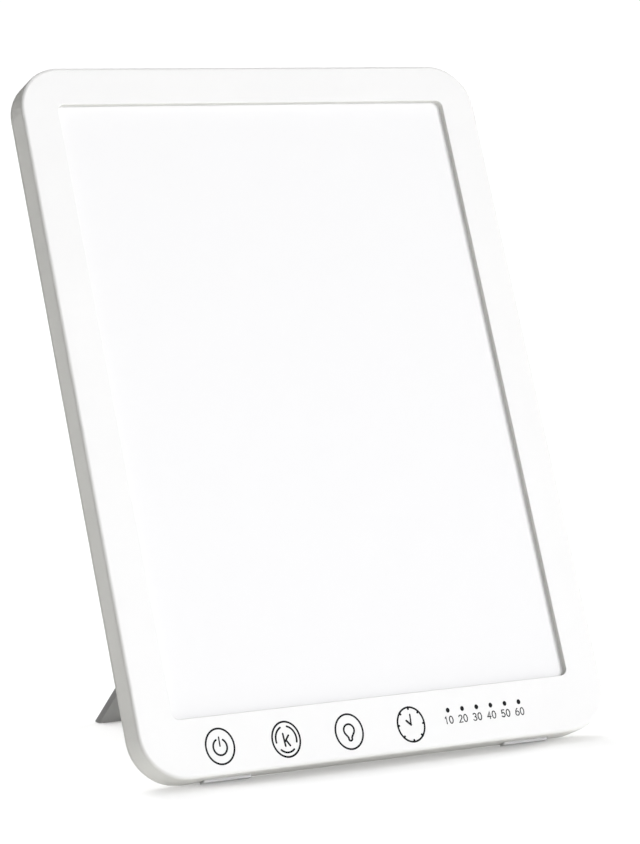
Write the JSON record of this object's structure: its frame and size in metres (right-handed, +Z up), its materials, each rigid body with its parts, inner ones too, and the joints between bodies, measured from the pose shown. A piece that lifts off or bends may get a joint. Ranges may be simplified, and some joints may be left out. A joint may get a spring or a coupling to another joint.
{
  "type": "light therapy lamp",
  "caption": "Slim tablet-shaped light therapy lamp with an opal window, touch keys and a fold-out stand it leans back on.",
  "frame": {"origin": "on the surface that the lamp stands on, at the middle of its footprint", "axes": "+X to the lamp's right as seen from the front, +Y away from the user, +Z up; the front faces -Y"},
  "size_m": [0.18, 0.1106, 0.2326],
  "materials": {
    "white_shell": "satin moulded white",
    "grey_stand": "fine matt moulded light grey",
    "opal_sheet": "opal, matt",
    "clear_acrylic": "clear, polished",
    "white_film": "smooth film",
    "foam_tape": "closed foam",
    "tray_sheet": "mill finish",
    "green_board": "solder mask",
    "white_board": "white solder mask",
    "led_phosphor": "cast phosphor",
    "black_component": "moulded epoxy",
    "capacitor_can": "drawn can",
    "spring_steel": "plated wire",
    "screw_steel": "zinc plated",
    "pin_steel": "ground",
    "nickel_contact": "nickel plated",
    "nylon_washer": "natural nylon",
    "lead_insulation": "soft extruded",
    "connector_shell": "natural nylon",
    "foot_rubber": "soft, matt",
    "printed_ink": "screen-printed ink, matt black"
  },
  "bodies": {
    "case": {"front_bezel": "white_shell", "window_tape": "foam_tape", "diffuser_panel": "opal_sheet", "prism_film": "white_film", "light_guide_plate": "clear_acrylic", "reflector_film": "white_film", "backing_tray": "tray_sheet", "led_strip_left": "white_board", "led_strip_right": "white_board", "led_packages_left": "led_phosphor", "led_packages_right": "led_phosphor", "control_board": "green_board", "indicator_lamps": "led_phosphor", "indicator_light_pipes": "clear_acrylic", "board_screws": "screw_steel", "controller_chip": "black_component", "driver_coil": "black_component", "driver_capacitor": "capacitor_can", "lead_connector_left": "connector_shell", "lead_connector_right": "connector_shell", "strip_lead_left": "lead_insulation", "strip_lead_right": "lead_insulation", "dc_jack": "black_component", "dc_jack_pin": "nickel_contact", "rear_cover": "white_shell", "case_screws": "screw_steel", "hinge_pin_left": "pin_steel", "hinge_pin_right": "pin_steel", "hinge_washers": "nylon_washer", "touch_spring_power": "spring_steel", "touch_spring_colour": "spring_steel", "touch_spring_brightness": "spring_steel", "touch_spring_timer": "spring_steel", "case_foot_left": "foot_rubber", "case_foot_right": "foot_rubber"},
    "stand": {"stand_plate": "grey_stand", "stand_foot_left": "foot_rubber", "stand_foot_right": "foot_rubber"}
  },
  "joints": [
    {"name": "stand_hinge", "type": "hinge", "parent": "case", "child": "stand", "pos_m": [0, 0.00866, 0.11807], "axis": [1, 0, 0], "range_deg": [-44.1, 0]}
  ]
}
